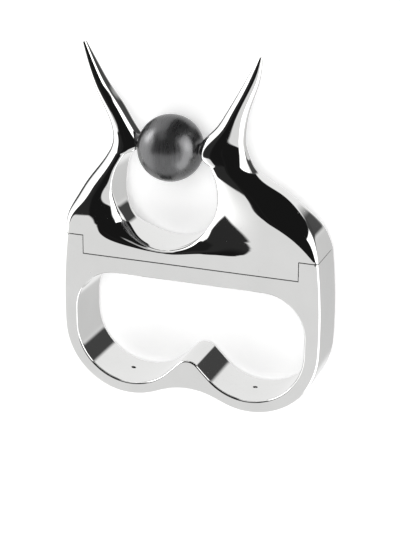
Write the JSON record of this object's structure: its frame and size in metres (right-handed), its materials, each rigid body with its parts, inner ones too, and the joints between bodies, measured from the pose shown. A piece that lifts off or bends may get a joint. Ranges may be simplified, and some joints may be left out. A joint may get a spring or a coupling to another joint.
{
  "type": "two-finger ring",
  "caption": "Silver ring worn across neighbouring fingers: a flat-faced band, and a crown seated on it that grips a dark ball between tapering horns above a round cutout.",
  "frame": {"origin": "under the middle of the ring's outline, on the surface that it lies on", "axes": "+X across the fingers to the wearer's right in the picture, +Y from the finger lobes to the horn tips, +Z out of the front face along the finger axes"},
  "size_m": [0.0444, 0.0582, 0.0109],
  "materials": {
    "silver": "polished sterling silver",
    "dark_ball": "satin dark grey pearl"
  },
  "bodies": {
    "root": {"band": "silver", "crown": "silver", "ball": "dark_ball", "pin": "silver"}
  },
  "joints": []
}
